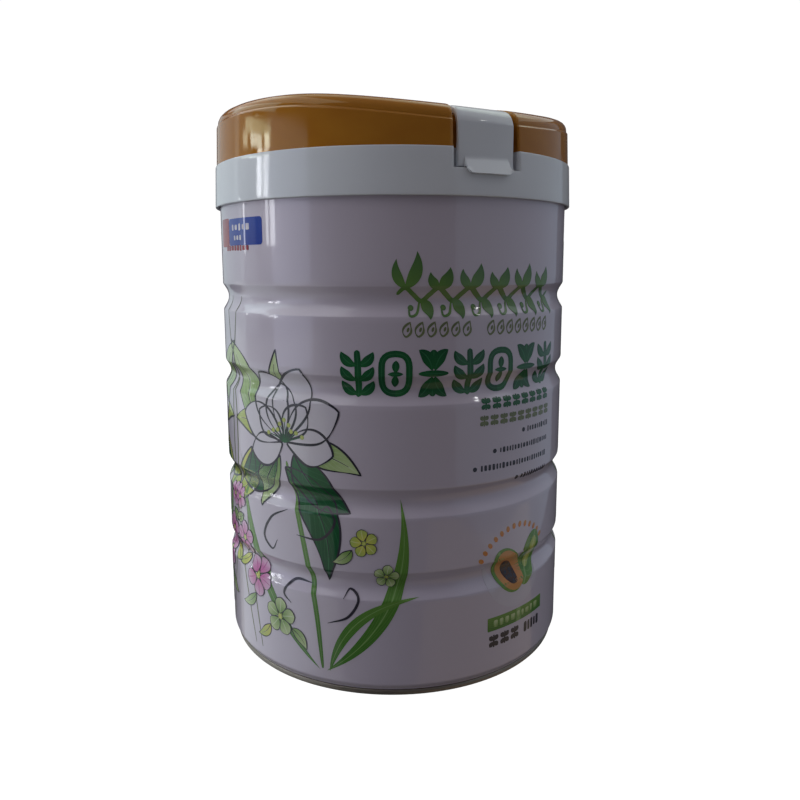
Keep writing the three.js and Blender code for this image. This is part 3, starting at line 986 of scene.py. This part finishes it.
class Print:
    """Everything printed on the can, as thin films of ink that follow its wall.

    Films of one ink rise a little from one to the next, so that no two which cross share a surface.
    """

    lift: float = 0.045
    layer: float = 0.03
    rise: float = 0.0015
    rises: int = 9
    film: float = 0.09
    line: float = 0.7

    def __init__(self, can: Can, seed: int = 11) -> None:
        """Starts with no ink.

        Args:
            can: The can whose wall the ink lies on.
            seed: Start of the random widths of the plain bars.
        """
        self.can = can
        self.random = np.random.default_rng(seed)
        self.films: dict[Tone, list[tuple[Patch, float]]] = {tone: [] for tone in Tone}

    def add(self, tone: Tone, layer: int, *patches: Patch) -> None:
        """Keeps patches for an ink, on a layer from 0 up."""
        films = self.films[tone]
        for patch in patches:
            films.append((patch, self.lift + self.layer * layer + self.rise * (len(films) % self.rises)))

    def bars(self, tone: Tone, layer: int, left: float, right: float, up: float, height: float,
             widths: Pair = (0.45, 1.0), gap: float = 0.35) -> None:
        """A row of plain upright bars.

        Args:
            tone: Their ink.
            layer: Their layer.
            left: Where the row starts.
            right: Where it ends.
            up: Height of its middle.
            height: Height of the row.
            widths: Least and greatest width of a bar, in bar heights.
            gap: Space between bars, in bar heights.
        """
        while left < right - 0.3 * height:
            width = min(height * self.random.uniform(*widths), right - left)
            tall = height * self.random.uniform(0.72, 1.0)
            self.add(tone, layer, panel((left + width / 2, up), width, tall, 0.18 * height))
            left += width + height * gap

    def sprigs(self, left: float, right: float) -> None:
        """A row of slim olive leaves drawn in line, each with a seed in it."""
        up, height = 119.0, 4.4
        pitch = 0.86 * height
        for x in np.arange(left + pitch / 2, right - pitch / 4, pitch):
            lean, half = 0.14 * height, height / 2
            shape = leaf((x - lean, up - half), (x + lean, up + half), 0.58 * height, 0.05)
            seed = disc((x, up), 0.09 * height, 0.17 * height, -0.3)
            self.add(Tone.OLIVE, 0, edge_of(shape, 0.17 * height), seed)

    def clovers(self, tone: Tone, left: float, right: float, up: float, height: float) -> None:
        """A row of small flowers with four petals, crossed by a short stem."""
        pitch = 1.16 * height
        for x in np.arange(left + pitch / 2, right - pitch / 4, pitch):
            for turn in TURN / 8 + TURN / 4 * np.arange(4):
                ends = ray((x, up), turn, 0.07 * height, 0.62 * height)
                self.add(tone, 0, leaf(*ends, 0.42 * height, 0.0, 1.2, 0.6))
            self.add(tone, 0, panel((x, up), 0.16 * height, 1.05 * height, 0.06 * height))

    def petal(self, tone: Tone, layer: int, shape: Patch, width: float) -> None:
        """A shape with a brushed edge of a width on the layer above it."""
        self.add(tone, layer, shape)
        self.add(Tone.LINE, layer + 1, edge_of(shape, width))

    def blossom(self, tone: Tone, centre: Place, size: float, turn: float) -> None:
        """A small open flower: five edged petals round a yellow middle."""
        for angle in turn + TURN * np.arange(5) / 5:
            shape = leaf(*ray(centre, angle, 0.14 * size, size), 0.78 * size, 0.03, 1.35, 0.6)
            self.petal(tone, 4, shape, 0.045 * size)
        self.add(Tone.YELLOW, 5, disc(centre, 0.17 * size, 0.17 * size, 0.0, 6, 0.12))

    def drawn_leaf(self, tone: Tone, layer: int, base: Place, tip: Place, width: float, bow: float,
                   line: float = line) -> None:
        """A leaf with a brushed edge and middle rib."""
        shape = leaf(base, tip, width, bow)
        self.petal(tone, layer, shape, line)
        middle = shape.places[:, shape.places.shape[1] // 2]
        inner = middle[: int(len(middle) * 0.82)]
        self.add(Tone.LINE, layer + 1, along_line(inner, 0.4 * line * np.linspace(1.0, 0.25, len(inner)), 3))

    def spray(self, across: float, mirror: bool = False) -> None:
        """A tall flowering spray: one great flower drawn in line, leaves, reeds and small blossoms.

        Args:
            across: Where its root stands.
            mirror: Turns it over left to right.
        """
        made, heart = Print(self.can), np.array([-13.0, 82.0])
        pine, spring, yellow = Tone.PINE, Tone.SPRING, Tone.YELLOW
        made.add(Tone.LEAF, 0, stroke([(0.0, 8.0), (-2.5, 30.0), (-7.5, 55.0), (-12.5, 76.0)], 1.9, 0.25))
        made.drawn_leaf(spring, 0, (-27.0, 83.0), (-45.0, 113.0), 11.5, -0.10)
        made.drawn_leaf(yellow, 0, (-30.0, 78.0), (-46.5, 56.0), 10.5, 0.12)
        made.drawn_leaf(pine, 0, (-13.0, 74.0), (2.0, 38.0), 12.5, 0.16)
        for base, tip, width, bow, fat in (((1.5, 7.5), (26.0, 66.0), 5.2, -0.16, 0.9),
                                           ((2.5, 7.5), (32.0, 34.0), 3.6, 0.17, 0.8),
                                           ((-1.0, 7.5), (-38.0, 74.0), 3.8, 0.10, 0.9)):
            made.add(Tone.LEAF, 0, leaf(base, tip, width, bow, fat))
        for points, width in (([(-31.0, 7.5), (-40.0, 40.0), (-45.0, 84.0), (-38.0, 128.0)], 0.75),
                              ([(-27.0, 7.5), (-33.0, 38.0), (-36.0, 66.0)], 0.6)):
            made.add(Tone.OLIVE, 0, stroke(points, width, 0.3))
        for angle, length, width, bow, tone in (
                (212, 33, 14, 0.10, pine), (243, 26, 10, -0.08, spring), (318, 31, 12, -0.10, pine),
                (343, 28, 9, 0.09, spring), (172, 29, 9, -0.10, yellow), (96, 30, 7, 0.08, spring)):
            made.drawn_leaf(tone, 0, *ray(heart, math.radians(angle), 5, length), width, bow)
        for angle, length, width, bow in (
                (75, 25, 15, 0.04), (120, 25, 15, -0.05), (30, 23, 14, 0.06), (160, 22, 13, -0.06),
                (-8, 18, 12, 0.05), (196, 17, 11, 0.04), (98, 19, 13, 0.0), (55, 15, 10, 0.05),
                (140, 15, 10, -0.05)):
            shape = leaf(*ray(heart, math.radians(angle), 1.0, length), width, bow, 1.15, 0.75)
            made.petal(Tone.PALE, 2, shape, 0.85)
        for angle in np.radians(np.linspace(20, 160, 9)):
            _, end = ray(heart, angle, 0.0, 6.2 + 1.3 * math.sin(5 * angle))
            made.add(pine, 4, stroke([heart, (heart + end) / 2 + 0.4, end], 0.35, 0.2))
            made.add(yellow, 5, disc(end, 0.75, 0.75))
        for tone, place, size, turn in (
                (Tone.PINK, (-37.0, 44.0), 6.2, 0.3), (Tone.PINK, (-28.5, 33.0), 7.4, 1.0),
                (Tone.PINK, (-40.5, 58.0), 4.6, 0.7), (spring, (-17.0, 22.0), 6.6, 0.2),
                (yellow, (14.5, 52.0), 4.6, 0.5), (spring, (21.5, 41.0), 4.2, 0.1)):
            made.blossom(tone, place, size, turn)
        for tone, place, tip in (
                (spring, (-30.0, 26.0), (-40.0, 20.0)), (yellow, (-36.0, 38.0), (-44.0, 34.0)),
                (spring, (-12.0, 19.0), (-6.0, 13.0)), (yellow, (-22.0, 17.5), (-29.0, 12.0)),
                (spring, (-38.0, 52.0), (-45.5, 50.0)), (spring, (10.5, 49.5), (4.0, 45.0))):
            made.drawn_leaf(tone, 2, place, tip, 3.6, 0.12, 0.35)
        for points in ([(-12.5, 60.0), (-20.0, 56.0), (-24.0, 49.0), (-20.0, 45.0), (-17.5, 48.5)],
                       [(-9.0, 52.0), (0.0, 52.0), (5.0, 58.0), (2.0, 62.5), (-1.0, 59.5)],
                       [(-4.0, 36.0), (-11.0, 36.0), (-15.0, 31.0), (-12.0, 28.0)],
                       [(2.0, 24.0), (9.0, 27.0), (12.5, 33.0), (9.5, 36.0), (7.5, 33.0)]):
            made.add(Tone.LINE, 1, stroke(points, 0.9, 0.6))
        for tone, films in made.films.items():
            self.films[tone] += [(patch.moved(across, mirror), lift) for patch, lift in films]

    def badge(self, across: float, up: float) -> None:
        """A small plain two-colour block, with two rows of pale bars in it and a row of red ones under it."""
        self.add(Tone.BLUE, 0, panel((across + 11.0, up), 22.0, 8.8, 1.2))
        self.add(Tone.RED, 0, panel((across - 4.8, up), 9.2, 9.4, 0.8))
        self.bars(Tone.PALE, 1, across + 3.0, across + 16.0, up + 1.5, 2.3, (0.5, 0.9), 0.5)
        self.bars(Tone.PALE, 1, across + 4.5, across + 11.0, up - 1.9, 1.8, (0.5, 0.9), 0.5)
        self.bars(Tone.RED, 1, across - 3.0, across + 15.5, up - 5.2, 2.0)

    def vine(self, left: float, right: float, up: float = 129.5, count: int = 6) -> None:
        """A scroll: a waved stem with leaves above and below it, the first ones tallest."""
        pitch = (right - left) / count
        across = np.linspace(left, right, 4 * count + 1)
        wave = up + 2.0 * np.sin((across - left) / pitch * TURN)
        self.add(Tone.TITLE, 0, stroke(joined(across, wave), 1.6, 0.12))
        for i in range(count):
            x, p = left + pitch * i, pitch
            grow = 1.4 if i == 0 else 1.0 - 0.12 * (i % 2)
            for start, rise, end, reach, width, bow in (
                    (0.22, 1.6, 0.60, 9.2 * grow, 3.9, -0.14), (0.30, 1.7, 0.00, 7.6 * grow, 3.0, 0.16),
                    (0.72, -1.6, 1.00, -7.6, 3.6, 0.14)):
                ends = (x + start * p, up + rise), (x + end * p, up + reach)
                self.add(Tone.TITLE, 1, leaf(*ends, width, bow, 0.85))
            curl = [(x + share * p, up - drop)
                    for share, drop in ((0.70, 1.8), (0.60, 5.6), (0.40, 6.4), (0.36, 4.2))]
            self.add(Tone.TITLE, 1, stroke(curl, 0.8, 0.3), disc((x + 0.42 * p, up - 4.0), 0.9, 0.9))

    def bold_row(self, left: float, right: float, up: float, count: int, height: float) -> None:
        """A row of bold dark figures by turns: a sprig, a ring round a flower, and two pairs of leaves."""
        h, pine, signs = height / 2, Tone.PINE, (-1, 1)
        for i in range(count):
            x = left + (right - left) / count * (i + 0.5)
            if i % 3 == 0:
                self.add(pine, 0, stroke([(x, up - h), (x + 0.3, up), (x, up + h)], 2.1, 0.08))
                for low in (up - 6.4, up - 1.9, up + 2.6):
                    for s in signs:
                        self.add(pine, 0, leaf((x, low), (x + s * 5.0, low + 4.2), 3.0, -0.16 * s, 1.1, 0.8))
            elif i % 3 == 1:
                self.add(pine, 0, frame_line((x, up), 8.4, height - 2.2, 4.1, 2.0))
                for s in signs:
                    ends = (x, up + 0.3 * s), (x + 0.2 * s, up + 4.2 * s)
                    self.add(pine, 0, leaf(*ends, 2.3, 0.0, 1.1, 0.7))
                self.add(pine, 1, leaf((x - 2.4, up), (x + 2.4, up), 1.5, 0.0, 1.0, 0.7))
            else:
                for s in signs:
                    for w in signs:
                        ends = (x + 0.5 * w, up + 0.9 * s), (x + 4.6 * w, up + h * s)
                        self.add(pine, 0, leaf(*ends, 3.7, 0.13 * s * w, 1.0, 0.75))
                self.add(pine, 0, *(disc((x, up + (h - 1.3) * s), 1.2, 1.3) for s in (1, -1)))
                self.add(pine, 1, leaf((x - 4.8, up), (x + 4.8, up), 2.0, 0.0, 1.0, 0.5))

    def fruit(self, across: float, up: float) -> None:
        """A halved fruit beside a whole one, on a swirl, under an arc of bars."""
        swirl = [(across + x, up + y) for x, y in ((-15.0, 3.5), (-10.0, -6.0), (-1.0, -10.5), (8.0, -8.0),
                                                   (11.0, -2.0))]
        self.add(Tone.MIST, 0, stroke(swirl, 5.2, 0.7))
        lean = 0.62
        for tone, layer, x, y, wide, tall, turn in (
                (Tone.MIST, 0, -1.0, -7.5, 8.5, 4.2, 0.1), (Tone.LEAF, 1, 6.4, 2.2, 4.8, 9.6, -0.35),
                (Tone.YELLOW, 2, 7.4, 3.8, 2.2, 5.6, -0.35), (Tone.LEAF, 2, -4.2, 0.4, 6.0, 9.2, lean),
                (Tone.ORANGE, 3, -3.5, 0.2, 5.2, 8.4, lean), (Tone.BROWN, 4, -3.8, -0.4, 2.5, 5.2, lean)):
            self.add(tone, layer, disc((across + x, up + y), wide, tall, turn))
        for i, angle in enumerate(np.linspace(0.0, TURN, 14)[:-1]):
            far = 0.45 + 0.4 * (i % 2)
            x, y = far * 2.2 * math.cos(angle), far * 4.6 * math.sin(angle)
            self.add(Tone.LINE, 5, disc((across - 3.8 + x * math.cos(lean) - y * math.sin(lean),
                                         up - 0.4 + x * math.sin(lean) + y * math.cos(lean)), 0.5, 0.62))
        for angle in np.radians(np.linspace(152, 38, 13)):
            ends = ray((across - 1.0, up - 2.0), angle, 17.5 - 1.15, 17.5 + 1.15)
            self.add(Tone.ORANGE, 0, leaf(*ends, 1.5, 0.0, 1.0, 0.35))

    def strip(self, across: float, up: float, left: float) -> None:
        """A green strip with bright bars in it, which start at left."""
        self.add(Tone.LEAF, 0, panel((across, up), 28.4, 4.7, 0.3))
        self.bars(Tone.SPRING, 1, left, left + 23.5, up, 2.6)

    def facts(self, across: float, up: float, width: float, height: float) -> None:
        """A plain table for the back: a border, a header strip, ruled rows and short bars."""
        left, right, foot, head = across - width / 2, across + width / 2, up - height / 2, up + height / 2
        self.add(Tone.PALE, 0, panel((across, up), width, height, 3.0))
        self.add(Tone.LEAF, 1, frame_line((across, up), width, height, 3.0, 0.8),
                 panel((across, head - 8.0), width - 7.0, 7.0, 1.2))
        self.bars(Tone.PALE, 2, left + 12, right - 12, head - 8.0, 2.6)
        levels = np.linspace(head - 17.0, foot + 26.0, 11)
        for i, level in enumerate(levels):
            self.add(Tone.OLIVE, 1, panel((across, level - 2.6), width - 8.0, 0.3, 0.1))
            for start, end in ((left + 5, left + 15 + 3.0 * (i % 4)),
                               (across + 4, across + 10 + 1.5 * (i % 3)), (right - 12, right - 6)):
                self.bars(Tone.LINE, 1, start, end, level, 1.6)
        self.lines(Tone.OLIVE, 1, left + 5, right - 5, np.arange(levels[-1] - 8.0, foot + 4.0, -3.4), 1.5)

    def lines(self, tone: Tone, layer: int, left: float, right: float, levels: Array, height: float,
              widths: Pair = (0.45, 1.0), gap: float = 0.35) -> None:
        """Rows of plain bars, one under another."""
        for level in levels:
            self.bars(tone, layer, left, right, float(level), height, widths, gap)

    def front(self) -> None:
        """What shows from the front."""
        self.spray(-24.0)
        self.badge(-66.6, 149.2)
        self.vine(1.0, 62.5)
        self.sprigs(2.5, 25.5)
        self.sprigs(30.0, 63.0)
        self.bold_row(-17.0, 65.0, 105.6, 7, 14.6)
        self.clovers(Tone.PINE, 28.0, 62.5, 95.0, 3.7)
        self.clovers(Tone.OLIVE, 27.6, 62.5, 89.6, 3.4)
        for left, level in ((49.0, 84.6), (36.0, 79.4), (28.5, 74.2), (46.0, 69.0)):
            self.add(Tone.LINE, 0, disc((left - 2.2, level), 0.75, 0.75))
            self.bars(Tone.LINE, 0, left, 62.5, level, 2.1, (0.24, 0.55), 0.3)
        self.fruit(45.5, 37.0)
        self.strip(46.2, 20.4, 34.5)
        self.clovers(Tone.LINE, 32.2, 46.8, 14.4, 4.2)
        self.bars(Tone.LINE, 0, 49.4, 60.4, 14.4, 4.0, (0.24, 0.42), 0.16)

    def back(self) -> None:
        """What a plain can of this kind carries round the back."""
        self.facts(118.0, 84.0, 62.0, 126.0)
        self.spray(-110.0, True)
        self.vine(-178.0, -116.0)
        self.sprigs(-176.0, -118.0)
        self.fruit(-166.0, 92.0)
        self.strip(-166.0, 66.0, -177.7)
        self.lines(Tone.LINE, 0, -184.0, -150.0, np.arange(56.0, 14.0, -4.4), 2.0, (0.7, 0.95), 0.38)
        self.lines(Tone.OLIVE, 0, 160.0, 186.0, np.arange(140.0, 24.0, -4.4), 1.9, (0.7, 0.95), 0.38)

    def build(self) -> list[Object]:
        """One object for each ink that is used, its films closed inwards."""
        self.front()
        self.back()
        return [self.film_object(tone.value, films) for tone, films in self.films.items() if films]

    def film_object(self, ink: Ink, films: list[tuple[Patch, float]]) -> Object:
        """All of one ink: each patch's places put on the wall, a little above it, facing outwards.

        Args:
            ink: The ink.
            films: Its patches and how far each lies over the wall.

        Returns:
            The object.
        """
        points, faces, start = [], [], 0
        for patch, lift in films:
            across, up = np.moveaxis(patch.places, -1, 0)
            grid = turned_points(self.can.cover_radius(up) + lift, up, across / self.can.radius)
            cells = grid_faces(*up.shape)
            flat = patch.places.reshape(-1, 2)[cells]
            turn = np.cross(flat[:, 2] - flat[:, 0], flat[:, 3] - flat[:, 1]).sum()
            points.append(grid.reshape(-1, 3))
            faces.append((cells if turn > 0 else cells[:, ::-1]) + start)
            start += up.size
        lay = np.concatenate([patch.lay.reshape(-1, 2) for patch, _ in films])
        made = make_object(ink.name, np.concatenate(points), np.concatenate(faces), ink.material(), lay)
        thicken(made, self.film)
        return made


# The room


@dataclass(frozen=True)
class Camera:
    """The photograph's view of the front, a little from above."""

    distance: float = 0.277246
    height: float = 0.138326
    pitch: float = 0.140
    yaw: float = -0.009
    roll: float = 0.003
    focal_share: float = 716.732 / 800
    sensor: float = 36.0
    shift: Pair = (0.00048, -0.04275)
    clip: Pair = (0.01, 50.0)

    def build(self) -> Object:
        """The camera, which becomes the scene's."""
        data = bpy.data.cameras.new("camera")
        data.sensor_width = self.sensor
        data.lens = self.focal_share * self.sensor
        data.shift_x, data.shift_y = self.shift
        data.clip_start, data.clip_end = self.clip
        made = bpy.data.objects.new("camera", data)
        made.location = (0.0, -self.distance, self.height)
        made.rotation_mode = "XYZ"
        made.rotation_euler = (math.pi / 2 - self.pitch, self.roll, self.yaw)
        bpy.context.scene.collection.objects.link(made)
        bpy.context.scene.camera = made
        return made


@dataclass(frozen=True)
class SoftBox:
    """A rectangular lamp that faces the tin from a direction.

    Its azimuth is measured as the tin's angles are, and its power is pi times its area times its glow.
    """

    name: str
    azimuth: float
    elevation: float
    size: Pair
    glow: float
    colour: Colour = (1.0, 1.0, 1.0)
    distance: float = 1.2
    aim_height: float = 0.13

    def build(self) -> Object:
        """The lamp, turned so that it faces the middle of the tin."""
        data = bpy.data.lights.new(self.name, "AREA")
        data.shape = "RECTANGLE"
        data.size, data.size_y = self.size
        data.energy = math.pi * self.size[0] * self.size[1] * self.glow
        data.color = self.colour
        made = bpy.data.objects.new(self.name, data)
        around, above = math.radians(self.azimuth), math.radians(self.elevation)
        level = math.cos(above)
        way = Vector((math.sin(around) * level, -math.cos(around) * level, math.sin(above)))
        made.location = way * self.distance + Vector((0.0, 0.0, self.aim_height))
        made.rotation_euler = way.to_track_quat("Z", "Y").to_euler()
        bpy.context.scene.collection.objects.link(made)
        return made


@dataclass
class Studio:
    """A pale floor and backdrop, a dim room round them, and soft lamps."""

    floor_radius: float = 9000.0
    first_ring: float = 80.0
    rings: int = 14
    backdrop_radius: float = 8900.0
    backdrop_foot: float = -0.01
    rows: int = 24
    sides: int = 96
    glow: float = 1.02
    low: Colour = (0.015, 0.012, 0.012)
    level: Colour = (0.018, 0.018, 0.022)
    high: Colour = (0.24, 0.21, 0.23)
    lamps: tuple[SoftBox, ...] = field(default_factory=lambda: (
        SoftBox("left_low", -85.0, -31.0, (2.10, 1.10), 0.38, (1.0, 1.0, 0.95)),
        SoftBox("left_low_middle", -90.0, -25.0, (1.50, 0.66), 0.50, (0.78, 0.90, 1.0)),
        SoftBox("left_high", -98.0, 25.0, (1.00, 0.30), 1.8, (0.78, 0.97, 1.0)),
        SoftBox("left_top", -90.0, 46.0, (2.2, 0.80), 1.19, (0.93, 0.965, 1.0)),
        SoftBox("left_roof", -90.0, 68.0, (2.0, 0.60), 0.09, (0.85, 1.0, 0.7)),
        SoftBox("left_side_wide", -66.0, 2.0, (0.62, 0.60), 1.12, (0.70, 0.76, 1.0)),
        SoftBox("pane_low_front", -79.0, 4.2, (0.086, 0.086), 6.8, (0.94, 0.96, 1.0)),
        SoftBox("pane_low_back", -83.6, 4.2, (0.050, 0.086), 6.0, (0.92, 0.95, 1.0)),
        SoftBox("pane_high_front", -81.3, 9.65, (0.080, 0.136), 9.2, (0.92, 0.94, 1.0)),
        SoftBox("pane_high_back", -86.9, 9.65, (0.084, 0.136), 11.6, (0.92, 0.94, 1.0)),
        SoftBox("pane_top_back", -101.6, 13.35, (0.098, 0.022), 4.2, (0.95, 1.0, 0.85)),
        SoftBox("pane_top", -90.6, 13.55, (0.215, 0.021), 8.4, (0.90, 1.0, 1.0)),
        SoftBox("pane_top_front", -81.2, 13.65, (0.082, 0.026), 11.0, (0.95, 1.0, 1.0)),
        SoftBox("pane_over", -89.5, 14.75, (0.48, 0.028), 3.2, (0.90, 1.0, 0.78)),
        SoftBox("left_fill", -104.0, 6.0, (0.40, 0.50), 0.42, (0.86, 0.94, 1.0)),
        SoftBox("left_bar", -107.0, 4.4, (0.036, 0.12), 5.5, (0.94, 0.96, 1.0)),
        SoftBox("left_back", -131.0, 3.0, (0.96, 0.70), 0.56, (0.82, 0.95, 0.98)),
        SoftBox("right_wide", 86.0, 5.0, (2.60, 1.46), 0.325, (0.64, 0.80, 1.0)),
        SoftBox("right_low", 62.0, -42.0, (1.80, 0.80), 0.27, (1.0, 0.75, 0.5)),
        SoftBox("right_top", 116.0, 50.0, (1.60, 0.80), 0.74, (0.9, 1.0, 1.0)),
        SoftBox("ceiling", 64.0, 38.0, (0.055, 0.055), 24.0),
        SoftBox("overhead", 180.0, 66.0, (2.0, 0.60), 0.76, (0.85, 1.0, 0.8)),
    ))

    def surface(self, name: str, radius: Array, height: Array, shade: Colour) -> Object:
        """A part of the room that the camera sees, and that neither lights the tin nor keeps light from it.

        Args:
            name: The object's name.
            radius: The radius of each ring of points.
            height: The height of each ring.
            shade: The paint's darker colour.

        Returns:
            The object, linked to the scene.
        """
        points = turned_points(radius[:, None], height[:, None], even_angles(self.sides))
        nodes = Nodes(bpy.data.materials.new(name + "_paint"))
        paint = nodes.mixed(nodes.noise(5.0, 2.0), shade, tuple(min(1.0, c * 1.03) for c in shade))
        nodes.set(Base_Color=paint, Roughness=0.8, Specular_IOR_Level=0.0,
                  Emission_Color=(1.0, 1.0, 1.0), Emission_Strength=self.glow)
        made = make_object(name, points.reshape(-1, 3), grid_faces(*points.shape[:2]), nodes.owner,
                           np.zeros((points.size // 3, 2)))
        made.visible_diffuse = made.visible_glossy = made.visible_transmission = made.visible_shadow = False
        return made

    def build(self) -> None:
        """The floor at height 0, a half sphere over it, the lamps, and a room brightest overhead."""
        rings = np.concatenate([[0.0], np.geomspace(self.first_ring, self.floor_radius, self.rings)])
        floor = self.surface("floor", rings, np.zeros(len(rings)), (0.1, 0.1, 0.1))
        if floor.data.polygons[0].normal.z < 0:
            floor.data.flip_normals()
        rise = np.linspace(self.backdrop_foot, math.pi / 2, self.rows)
        self.surface("backdrop", self.backdrop_radius * np.cos(rise), self.backdrop_radius * np.sin(rise),
                     (0.0, 0.0, 0.0))
        for lamp in self.lamps:
            lamp.build()
        self.room()

    def room(self) -> None:
        """The light of the room: a colour that changes with the height of the direction it comes from."""
        nodes = Nodes(bpy.data.worlds.new("room"), "Background")
        height = nodes.axes(nodes.place["Generated"])["Z"]
        ramp = nodes.add("ShaderNodeValToRGB", {"Fac": nodes.ranged(height, (-1.0, 1.0), course="LINEAR")})
        stops = ramp.color_ramp.elements
        stops[0].color, stops[1].color = (*self.low, 1.0), (*self.high, 1.0)
        stops.new(0.5).color = (*self.level, 1.0)
        nodes.set(Color=ramp.outputs["Color"])
        bpy.context.scene.world = nodes.owner
        bpy.context.scene.view_settings.view_transform = "Standard"


def main() -> None:
    """Builds the tin's pieces round the frame, then the studio and the camera."""
    logging.basicConfig(level=logging.INFO, format="%(name)s: %(message)s")
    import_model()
    white = MouldedWhite().material()
    overcap = Overcap()
    seam = SeamLacquer().material()
    can = Can()
    pieces = [
        can.build(PearlLacquer().material()),
        BaseSeam().build(seam),
        SideSeam(can).build(seam),
        Collar(overcap).build(white),
        Cover(overcap).build(MouldedAmber().material()),
        Latch(overcap).build(white),
        Hinge(overcap).build(white),
        *Print(can).build(),
    ]
    for piece in pieces:
        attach(piece, BODY)
        log.info("%s: %d points, %d faces", piece.name, len(piece.data.vertices), len(piece.data.polygons))
    Studio().build()
    Camera().build()


if __name__ == "__main__":
    main()
